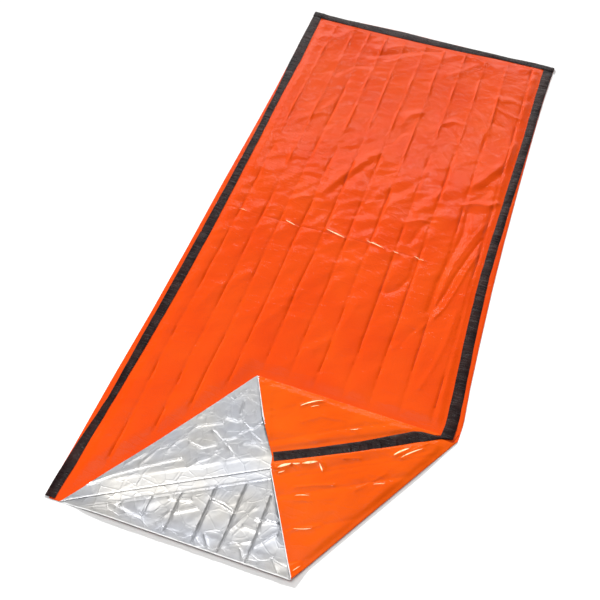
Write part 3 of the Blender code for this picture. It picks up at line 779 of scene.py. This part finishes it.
def front_lines():
    """Lines that the front panel's mesh follows: folds, long creases, outlines of the folds with painted
    glints, bare edge.
    """
    lines = HINGE_FOLD.roll_lines(-0.004, HINGE_FOLD.length - TIP_TRIM)
    lines += PEAK_FOLD.roll_lines(-0.004, PEAK_FOLD.length - TIP_TRIM)
    for index, x in enumerate(CREASES, start=1):
        start = 0.56
        if x < PEAK[0]:
            start = (x - HINGE[0]) * PEAK[1] / (PEAK[0] - HINGE[0]) + 0.045
        rows = np.arange(start, 2.055, 0.0072)
        lines.append(list(zip(x + crease_wander(index, rows), rows)))
    lines += dash_lines(CROSS_DASHES) + dash_lines(PEAK_DASHES, unfolded_twice)
    lines.append(densified([*LIP[:4], (0.618, 0.0165)], 0.006))
    end = unfolded_twice(beside_seam(SEAM_GAP / 2))[0] + np.array((-0.002, 0.004))
    lines.append(densified([(0.645, 0.0142), LIP[5], end], 0.006))
    return lines


def front_mesh():
    field = field_points(0.03, 2.10)
    field = field[beyond_flap(field) > 0.004]
    field = np.vstack((crease_points(FAN_CREASES, 0.005), crease_points(FIELD_CREASES, 0.009), field))
    across = np.arange(0.05, 0.85, 0.006)
    for offset in (-0.009, -0.0045, -0.002, 0.0, 0.002, 0.0045, 0.009):
        field = np.vstack((np.column_stack((across, CROSS_CREASE + cross_wander(across) + offset)), field))
    hidden = hex_points((0.05, 0.02, 0.90, 0.50), 0.022)
    hidden = hidden[(beyond_flap(hidden) < -0.012) & (HINGE_FOLD.side(hidden) > 0.012)]
    box = (0.03, 0.02, 0.92, 0.51)
    silver = np.vstack((crease_points(FLAP_CREASES), hex_points(box, 0.0036, seed=5)))
    silver = within(silver[CUT.side(silver) < -0.001], (HINGE_FOLD, 0.002))
    under = HINGE_FOLD.unfold(within(hex_points(box, 0.022), (HINGE_FOLD, 0.006), (CUT, 0.012)))
    orange = np.vstack((crease_points(PEAK_CREASES), hex_points(box, 0.0050, seed=8)))
    orange = unfolded_twice(within(orange, (CUT, 0.0), (TURNED_SEAM_LINE, 0.0)))
    flat = np.vstack((
        field,
        hidden,
        HINGE_FOLD.unfold(silver),
        under[PEAK_FOLD.side(under) > 0.01],
        orange[PEAK_FOLD.side(orange) < -0.004],
    ))
    return fill(front_outline(), front_lines(), flat, 0.0019)


def front_shape(points):
    """The flat front panel's points once it lies creased and folded."""
    once = HINGE_FOLD.side(points) < 0
    twice = once & (PEAK_FOLD.side(points) < 0)
    lying = HINGE_FOLD.apply(np.where(once[:, None], PEAK_FOLD.apply(points), points))
    plan = lying[:, :2]
    silver = rumple(plan, 0.0013, 0.0009, 60) + 0.8 * creased(plan, FLAP_CREASES)
    silver *= smooth((HINGE_FOLD.side(lying) - 0.028) / 0.008) * smooth((0.001 - CUT.side(lying)) / 0.012)
    orange = 0.0008 + strip_relief(points[:, :2], 0.0012, 0.0014) + 0.7 * creased(plan, PEAK_CREASES)
    orange += rumple(plan, 0.0024, 0.0012, 80) + dash_relief(plan, PEAK_DASHES)
    fade = smooth((-PEAK_FOLD.side(points) - 0.004) / 0.02) * smooth((from_tip(plan) - TIP_TRIM) / 0.03)
    fade *= smooth((TURNED_SEAM_LINE.side(lying) - 0.014) / 0.014)
    orange = np.maximum(orange, 0.0) * fade
    raised = lift(lying, once)
    silver = np.maximum(silver, -0.9 * raised)
    lying[:, 2] += FRONT_LEVEL + raised
    lying[:, 2] += np.where(twice, orange, np.where(once, silver, field_relief(plan)))
    return lying


def front_slots(centres):
    """Orange outside and silver inside, with a bare edge at the mouth and pale painted highlights on the
    glinting folds.
    """
    x, y = centres.T
    at_tip = from_tip(centres) < TIP_REACH
    # The opened corner takes the lighter orange, painted light
    opened = HINGE_FOLD.side(centres) < 0
    glinting = painted_glint_faces(centres, CROSS_DASHES) | painted_glint_faces(centres, PEAK_DASHES, unfolded_twice)
    # The glinting folds are painted pale orange, a painted highlight
    top = np.where(glinting, PAINTED_GLINT, np.where(opened, OPENED, ORANGE))
    top = np.where((y < along(LIP, x)) & (x > HINGE[0]) & ~at_tip, EDGE, top)
    return top, np.where(at_tip, ORANGE, SILVER)


def back_outline():
    seam = BACK_FOLD.unfold(beside_seam(-SEAM_GAP / 2))
    near = [(LEFT.back_edge(0.0), 0.0), (0.2, 0.0), (0.4, 0.0), TOE]
    near += [(0.76, 0.0), (MOUTH_RIGHT, -0.001), seam[0]]
    tip = [(MOUTH_RIGHT, TIP[1] - 0.020), (RIGHT.fold(0.505), 0.505)]
    right_end = (RIGHT.back_edge(FAR), foot_points(RIGHT.seam(FAR), 0.0)[0][1])
    left_end = (LEFT.back_edge(FAR), foot_points(LEFT.seam(FAR), 1.0)[0][1])
    outline = densified(near, 0.005) + densified([*seam, *tip], 0.008)[1:]
    outline += side_points(RIGHT.back_edge, SIDE_SEAM_START, FAR - 0.01)
    outline += densified([right_end, *foot_points(RIGHT.fold(FAR), LEFT.fold(FAR)), left_end], 0.03)
    return outline + side_points(LEFT.back_edge, FAR - 0.01, 0.0)[:-1]


def back_mesh():
    lines = BACK_FOLD.roll_lines(-0.002, BACK_FOLD.length - 0.010)
    for step in range(5):
        arc = math.pi * SIDE_RADIUS * step / 4
        lines.append(side_points(LEFT.fold, -0.001, FAR + 0.01, 0.008, -arc))
        lines.append(side_points(RIGHT.fold, SIDE_SEAM_START, FAR + 0.01, 0.008, arc))
    lines += [densified([(0.04, y), (0.60, y)], 0.006) for y in (0.0024, 0.0101)]
    lines.append(densified([(0.645, 0.0023), (MOUTH_RIGHT - 0.003, 0.0014)], 0.006))
    lines += dash_lines(RIDGE_DASHES, BACK_FOLD.unfold)
    ground = hex_points((0.0, 0.0, 0.92, 2.12), 0.030)
    ground = ground[(HINGE_FOLD.side(ground) > 0.03) & (ground[:, 0] > 0.03) & (ground[:, 0] < 0.87)]
    mouth = np.vstack((crease_points(MOUTH_CREASES), hex_points((0.02, 0.0, 0.92, 0.50), 0.0038, seed=11)))
    mouth = mouth[(HINGE_FOLD.side(mouth) < 0.012) & (BACK_FOLD.side(mouth) > 0.003)]
    corner = np.vstack((crease_points(RIDGE_CREASES), hex_points((0.45, 0.0, 0.93, 0.51), 0.0046, seed=12)))
    corner = BACK_FOLD.unfold(corner)
    corner = corner[(BACK_FOLD.side(corner) < -0.007) & (corner[:, 1] < TIP[1])]
    margins = hex_points((-0.05, 0.0, 0.96, 2.12), 0.0065, seed=13)
    x, y = margins.T
    left = margins[x < LEFT.fold(y) - 0.003]
    right = margins[(x > RIGHT.fold(y) + 0.003) & (y > SIDE_SEAM_START)]
    return fill(back_outline(), lines, np.vstack((ground, mouth, corner, left, right)), 0.0017)


def back_shape(points):
    """The flat back panel's points once it lies with its sides and its corner turned up."""
    x, y, height = points.T
    lying = BACK_FOLD.apply(points)
    plan = lying[:, :2]
    side = BACK_FOLD.side(points)
    flipped = side < -math.pi * BACK_RADIUS
    angle = np.arctan2(lying[:, 1] - TIP[1], lying[:, 0] - TIP[0])
    to_tip = from_tip(plan)
    climb_angle = HINGE_ANGLE - angle_at_tip(TOE) + SEAM_CLEAR / (to_tip + SEAM_CLEAR)
    share = smooth((angle - angle_at_tip(TOE)) / climb_angle) * smooth(to_tip / TIP_TRIM)
    lying[:, 2] += np.where(flipped, (SEAM_LEVEL - BACK_LEVEL - 2 * BACK_RADIUS) * share, 0.0)

    below = -HINGE_FOLD.side(lying)
    bare = -TURNED_MOUTH.side(plan)
    left_fade = smooth((x - along(LEFT_TAPE, y, 2) - 0.01) / 0.05)
    loft = MOUTH_LOFT * smooth((below - 0.020) / 0.012) * left_fade
    loft *= smooth((BACK_FOLD.side(lying) - 0.004) / 0.03)
    silver = rumple(plan, 0.0013, 0.0010, 90) + creased(plan, MOUTH_CREASES)
    silver *= smooth((below - 0.020) / 0.010) * smooth(side / 0.02) * left_fade
    silver = np.maximum(silver * smooth((bare - 0.001) / 0.014), -0.8 * loft)
    cut_run = np.where(flipped, 1.0 - share, 0.0) * smooth(BACK_FOLD.side(lying) / 0.03)
    settle = (2 * BACK_RADIUS - 0.0009) * cut_run * smooth(1.0 + bare / 0.05)

    orange = 0.0010 + strip_relief(points[:, :2], 0.0014, 0.0015) + 0.6 * creased(plan, RIDGE_CREASES)
    orange += rumple(plan, 0.0023, 0.0012, 100) + dash_relief(plan, RIDGE_DASHES)
    fade = smooth((-side - 0.006) / 0.02) * smooth((-TURNED_SEAM_LINE.side(lying) - 0.014) / 0.010)
    orange = np.maximum(orange, 0.0) * fade * smooth((to_tip - TIP_TRIM) / 0.03)
    lying[:, 2] += loft + np.where(side > 0, silver, np.where(flipped, orange - settle, 0.0))

    ripple = 0.0012 * facets(plan, (0.012, 0.035), 120)
    for edge, start in ((LEFT, -1.0), (RIGHT, TIP[1])):
        inside_by = edge.inward * (x - edge.fold(y))
        rolled, risen = roll(inside_by, height, SIDE_RADIUS)
        up = (inside_by < 0) & (y > start)
        lying[up, 0] = (edge.fold(y) + edge.inward * rolled)[up]
        lying[up, 2] = (risen + ripple * smooth(-inside_by / 0.006 - 0.4))[up]
    lying[:, 2] += BACK_LEVEL + lift(lying, flipped)
    return lying


def back_slots(centres):
    """Silver inside and orange outside, with a bare edge at the mouth."""
    x, y = centres.T
    at_tip = from_tip(centres) < TIP_REACH
    lip = (y < 0.0023) & (x > 0.04) & (x < TOE[0])
    top = np.where(at_tip, ORANGE, np.where(lip, EDGE, SILVER))
    # The turned corner's outside takes the lighter orange, painted light
    bottom = np.where((BACK_FOLD.side(centres) < 0) & (y < TIP[1]), OPENED, ORANGE)
    # Pale painted highlights on the glinting folds of the turned corner
    bottom = np.where(painted_glint_faces(centres, RIDGE_DASHES, BACK_FOLD.unfold), PAINTED_GLINT, bottom)
    margin = np.where(x < TOE[0], 0.0100, 0.0022)
    return top, np.where((y < margin) & ~at_tip, EDGE, bottom)


# Tapes


def tape_rows(sections, step=0.0022):
    """Sections (outer x, y, inner x, y, level) drawn close together along the tape."""
    sections = np.array(sections, float)
    middles = (sections[:, 0:2] + sections[:, 2:4]) / 2
    runs = np.concatenate(([0.0], np.cumsum(np.linalg.norm(np.diff(middles, axis=0), axis=1))))
    at = np.linspace(0.0, runs[-1], round(runs[-1] / step) + 1)
    return at, np.column_stack([np.interp(at, runs, sections[:, k]) for k in range(5)])


def add_tape(name, node, sections, material, seed, drop=None, across=9):
    """A thin strip through the sections, a little crimped, arched over the seam beneath it."""
    run, rows = tape_rows(sections)
    share = np.tile(np.linspace(0.0, 1.0, across), len(rows))
    run, rows = np.repeat(run, across), np.repeat(rows, across, axis=0)
    plan = rows[:, 0:2] + (rows[:, 2:4] - rows[:, 0:2]) * share[:, None]
    points = np.column_stack((plan, rows[:, 4] + 0.0007 * np.sin(math.pi * share) ** 0.5))
    slant = np.column_stack((run + 0.012 * share, share))
    crimp = 0.0026 * facets(slant, (0.036, 0.8), seed) + 0.0009 * facets(slant, (0.011, 0.6), seed + 5)
    chance = hashed(np.arange(200), np.array([[1], [2], [3]]), seed)
    places = 0.02 + np.cumsum(0.012 + 0.040 * chance[2] ** 2)
    for place, lean, rise in zip(places, 0.010 * (chance[0] - 0.5), 0.0022 * (chance[1] - 0.40)):
        crimp += rise * np.exp(-(((run - place - lean * share) / 0.0026) ** 2))
    points[:, 2] += crimp * (0.35 + 0.65 * np.sin(math.pi * share))
    along_run = np.column_stack((run, np.zeros(len(run))))
    points[:, 0] += 0.0005 * soft_noise(along_run, (0.03, 1.0), seed + 7)
    if drop is not None:
        points = drop(points, share)
    points[:, 2] += lift(points, rows[:, 4] > FRONT_LEVEL + 0.0025)
    first = np.arange(len(points) - across).reshape(-1, across)[:, :-1].ravel()
    faces = np.column_stack((first, first + 1, first + 1 + across, first + across))
    side, ahead = points[1] - points[0], points[across] - points[0]
    if side[0] * ahead[1] < side[1] * ahead[0]:
        faces = faces[:, ::-1]
    slots = [np.zeros(2 * len(faces)), np.zeros(len(rim_of(faces)))]
    lower = points - np.array((0, 0, TAPE_THICK))
    return add_closed(name, node, points, lower, faces, [material], slots)


def build_tapes(material):
    flat = FRONT_LEVEL + FILM / 2 + TAPE_THICK + 0.0002
    top = SEAM_LEVEL + FILM / 2 + TAPE_THICK + 0.0002
    left = [(outer, y, inner, y, flat) for y, outer, inner in LEFT_TAPE]
    left.append((-0.0035, 2.078, 0.0280, 2.078, flat))
    right = [(0.9052, 2.078, 0.8720, 2.078, flat)]
    right += [(outer, y, inner, y, flat) for y, outer, inner in RIGHT_TAPE]
    right += [(x1, y1, x0, y0, top) for x0, y0, x1, y1 in TURNED_TAPE]
    foot = [(x, along(FOOT_EDGE, x), x, along(FOOT_TAPE, x), flat)
            for x in sorted({x for x, _ in (*FOOT_TAPE, *FOOT_EDGE)})]

    def turned_down(points, share):
        """The foot tape's outer edge goes down over the edges of both plies."""
        ends = smooth((0.050 - points[:, 0]) / 0.02) + smooth((points[:, 0] - 0.850) / 0.02)
        points[:, 2] += 0.0018 * ends
        down = smooth(1.0 - share / 0.13)
        points[:, 2] -= (points[:, 2] - 0.0006) * down
        return points

    return [
        add_tape("tape_left_seam", "seam_tape_left", left, material, 201),
        add_tape("tape_right_seam", "seam_tape_right", right, material, 202),
        add_tape("tape_foot_seam", "seam_tape_foot", foot, material, 203, drop=turned_down, across=11),
    ]


# Materials


class Look:
    """The nodes of a material or of the world, with short calls for what repeats."""

    def __init__(self, owner, end, coords):
        owner.use_nodes = True
        self.tree = owner.node_tree
        self.end = self.tree.nodes[end]
        self.coords = self.node("TexCoord", coords)

    def node(self, kind, output, settings=(), **inputs):
        """An output of a new node. Each of its inputs is a value, or an output to link."""
        made = self.tree.nodes.new("ShaderNode" + kind)
        for name, value in settings:
            setattr(made, name, value)
        for name, value in inputs.items():
            socket = made.inputs[name.replace("_", " ")]
            if isinstance(value, bpy.types.NodeSocket):
                self.tree.links.new(value, socket)
            else:
                socket.default_value = value
        return made.outputs[output]

    def noise(self, scale, detail=2.0, stretch=(1, 1, 1)):
        stretched = self.node("Mapping", "Vector", Vector=self.coords, Scale=stretch)
        return self.node("TexNoise", "Fac", Vector=stretched, Scale=scale, Detail=detail)

    def cells(self, scale, feature="DISTANCE_TO_EDGE"):
        settings = [("feature", feature)]
        return self.node("TexVoronoi", "Distance", settings, Vector=self.coords, Scale=scale)

    def ramp(self, value, *stops):
        """The value as colours. Each stop is a position and a colour or a grey."""
        colours = self.node("ValToRGB", "Color", Fac=value)
        elements = colours.node.color_ramp.elements
        while len(elements) < len(stops):
            elements.new(0.5)
        for element, (position, colour) in zip(elements, stops):
            element.position = position
            element.color = (*colour, 1.0) if isinstance(colour, tuple) else (colour, colour, colour, 1.0)
        return colours

    def paint(self, name, value, *stops):
        """Give an input of the shader the value's colours."""
        self.tree.links.new(self.ramp(value, *stops), self.end.inputs[name])

    def bump(self, height, strength, distance):
        """Put relief on top of what the shader has."""
        before = [link.from_socket for link in self.end.inputs["Normal"].links]
        below = {"Normal": before[0]} if before else {}
        made = self.node("Bump", "Normal", Strength=strength, Distance=distance, Height=height, **below)
        self.tree.links.new(made, self.end.inputs["Normal"])


def new_look(name):
    material = bpy.data.materials.new(name)
    return material, Look(material, "Principled BSDF", "Object")


def orange_film(name, deep, pale, shine):
    """Orange film over a metal coat: glossy, with fine creasing from being packed."""
    material, look = new_look(name)
    look.paint("Base Color", look.noise(5.0, 3.0), (0.3, deep), (0.7, pale))
    look.paint("Roughness", look.noise(60.0, 4.0), (0.3, 0.11), (0.75, 0.19))
    look.bump(look.noise(110.0, 3.0, (1.0, 0.55, 1.0)), 0.16, 0.0010)
    look.bump(look.ramp(look.cells(42.0), (0.0, 0.0), (0.10, 1.0)), 0.16, 0.0006)
    wrinkle = look.noise(17.0, 4.0, (0.55, 1.5, 1.0))
    look.bump(look.ramp(wrinkle, (0.455, 0.0), (0.50, 1.0), (0.545, 0.0)), 0.26, 0.0008)
    look.end.inputs["Specular IOR Level"].default_value = shine
    return material


def silver_film():
    """The metal coat inside: crinkled into small bright facets between fine straight folds."""
    material, look = new_look("silver_foil_inside")
    look.paint("Base Color", look.noise(8.0), (0.36, (0.88, 0.86, 0.83)), (0.64, (0.79, 0.81, 0.87)))
    look.end.inputs["Metallic"].default_value = 1.0
    look.paint("Roughness", look.noise(70.0, 3.0), (0.3, 0.30), (0.7, 0.43))
    look.bump(look.cells(95.0, "F1"), 0.10, 0.0010)
    look.bump(look.noise(150.0, 3.0), 0.14, 0.0006)
    look.bump(look.ramp(look.noise(13.0, 1.0), (0.48, 0.0), (0.50, 1.0), (0.52, 0.0)), 0.20, 0.0008)
    look.bump(look.ramp(look.cells(27.0), (0.0, 1.0), (0.06, 0.0)), 0.29, 0.0008)
    return material


def edge_film():
    """The raw cut edge, where the metal side is turned to the light."""
    material, look = new_look("foil_cut_edge")
    tone = look.noise(90.0)
    look.paint("Base Color", tone, (0.3, 0.70), (0.7, 0.92))
    look.paint("Roughness", tone, (0.3, 0.30), (0.7, 0.45))
    look.end.inputs["Metallic"].default_value = 0.35
    return material


def painted_glint_film():
    """Painted highlight: the glints on the sharpest folds, painted into the film as a pale orange."""
    material, look = new_look("orange_film_painted_glint")
    tone = look.noise(120.0)
    look.paint("Base Color", tone, (0.35, (0.94, 0.48, 0.20)), (0.6, (0.97, 0.76, 0.48)))
    look.paint("Roughness", tone, (0.3, 0.30), (0.7, 0.45))
    return material


def black_tape():
    """Black film tape, crimped across, with lighter and darker streaks painted into its colour as painted
    sheen.
    """
    material, look = new_look("black_seam_tape")
    # Painted sheen: stretches of the tape are painted lighter and darker to stand in for the light they
    # reflect
    look.paint("Base Color", look.noise(24.0, 1.0, (0.7, 1.0, 0.0)), (0.30, (0.009, 0.003, 0.003)),
               (0.45, (0.011, 0.004, 0.004)), (0.53, (0.018, 0.007, 0.006)), (0.70, (0.026, 0.011, 0.010)))
    look.paint("Roughness", look.noise(120.0, 3.0), (0.3, 0.24), (0.7, 0.36))
    crimps = look.noise(95.0, 2.0, (0.12, 1.0, 1.0))
    look.bump(look.ramp(crimps, (0.40, 1.0), (0.47, 0.0), (0.54, 1.0)), 0.45, 0.0008)
    look.bump(look.noise(420.0), 0.15, 0.0004)
    look.end.inputs["Specular IOR Level"].default_value = 0.26
    return material


def floor_material():
    material, look = new_look("pale_floor")
    look.paint("Base Color", look.noise(1.5), (0.3, 0.89), (0.7, 0.91))
    look.end.inputs["Roughness"].default_value = 0.9
    look.end.inputs["Specular IOR Level"].default_value = 0.1
    return material


# Studio


def add_floor(half=14.0):
    mesh = bpy.data.meshes.new("floor")
    corners = [(-half, -half, 0), (half, -half, 0), (half, half, 0), (-half, half, 0)]
    mesh.from_pydata(corners, [], [(0, 1, 2, 3)])
    mesh.materials.append(floor_material())
    floor = bpy.data.objects.new("floor", mesh)
    bpy.context.scene.collection.objects.link(floor)


def add_lamp(light, place, way, mirrored):
    """Hang a lamp that shines along the way given. The film mirrors it or not."""
    lamp = bpy.data.objects.new(light.name, light)
    lamp.location = place
    lamp.rotation_euler = Vector(way).to_track_quat("-Z", "Y").to_euler()
    lamp.visible_glossy = mirrored
    bpy.context.scene.collection.objects.link(lamp)


def add_panel_light(name, place, target, size, power, mirrored=True):
    light = bpy.data.lights.new(name, "AREA")
    light.shape = "RECTANGLE"
    light.size, light.size_y = size
    light.energy = power
    add_lamp(light, place, Vector(target) - Vector(place), mirrored)


def add_sky():
    """Soft grey surroundings for the film to mirror: a bright band a third of the way up, pale on top."""
    world = bpy.data.worlds.new("studio")
    bpy.context.scene.world = world
    look = Look(world, "Background", "Generated")
    way = look.node("SeparateXYZ", "Z", Vector=look.coords).node.outputs
    sky = look.ramp(way["Z"], (0.0, 0.40), (0.20, 0.60), (0.36, 1.00), (0.44, 2.90), (0.50, 2.90),
                    (0.56, 0.90), (0.64, 0.36), (0.72, 0.36), (0.80, (0.43, 0.42, 0.41)),
                    (0.925, (0.49, 0.51, 0.55)), (0.955, (1.56, 1.53, 1.46)), (1.0, (1.64, 1.61, 1.52)))
    # Darker towards the near, the left and the right side: axis, from, to, share from, share to
    for axis, low, high, share_low, share_high in (
        ("Y", -0.75, -0.10, 0.24, 1.0),
        ("X", -0.62, -0.40, 0.30, 1.0),
        ("X", 0.06, 0.34, 1.0, 0.28),
    ):
        share = look.node("MapRange", "Result", Value=way[axis], From_Min=low, From_Max=high,
                          To_Min=share_low, To_Max=share_high)
        sky = look.node("VectorMath", "Vector", [("operation", "SCALE")], Vector=sky, Scale=share)
    look.tree.links.new(sky, look.end.inputs["Color"])
    look.end.inputs["Strength"].default_value = 1.0


def build_studio():
    view = bpy.context.scene.view_settings
    view.view_transform = "Standard"
    view.look = "None"
    add_sky()
    sun = bpy.data.lights.new("far_window", "SUN")
    sun.energy = 3.6
    sun.angle = 0.09
    add_lamp(sun, (0.0, 0.0, 0.0), (0.62, -0.58, -0.53), mirrored=False)
    add_panel_light("left_softbox", (-0.4, -0.9, 1.9), (0.0, -0.8, 0.0), (1.0, 1.0), 12, mirrored=False)
    add_panel_light("overhead_strip", (0.0, -1.25, 3.2), (0.0, -0.9, 0.0), (2.2, 0.03), 14)
    add_panel_light("far_strip", (-0.6, 3.6, 3.0), (0.0, 0.0, 0.0), (2.6, 0.16), 12)


def add_camera():
    camera = bpy.data.cameras.new("camera")
    camera.lens = 53.38
    camera.sensor_width = 36.0
    camera.clip_end = 60.0
    holder = bpy.data.objects.new("camera", camera)
    holder.location = Vector((0.8245, -0.7071, 2.0020)) + Vector(BAG_TO_MODEL)
    holder.rotation_euler = Euler((0.658, -0.031, 0.328), "XYZ")
    bpy.context.scene.collection.objects.link(holder)
    bpy.context.scene.camera = holder


def main():
    films = [
        orange_film("orange_foil_film", (0.65, 0.049, 0.002), (0.69, 0.066, 0.003), 0.18),
        silver_film(),
        edge_film(),
        # the same orange painted lighter for the opened corner, painted light
        orange_film("orange_foil_film_opened", (0.66, 0.072, 0.002), (0.70, 0.092, 0.004), 0.12),
        # pale orange painted on the glinting folds, a painted highlight
        painted_glint_film(),
    ]
    front = add_film("foil_front_panel", "front_panel", front_mesh(), front_shape, front_slots, films)
    back = add_film("foil_back_panel", "back_panel", back_mesh(), back_shape, back_slots, films)
    tapes = build_tapes(black_tape())
    add_floor()
    build_studio()
    add_camera()


main()
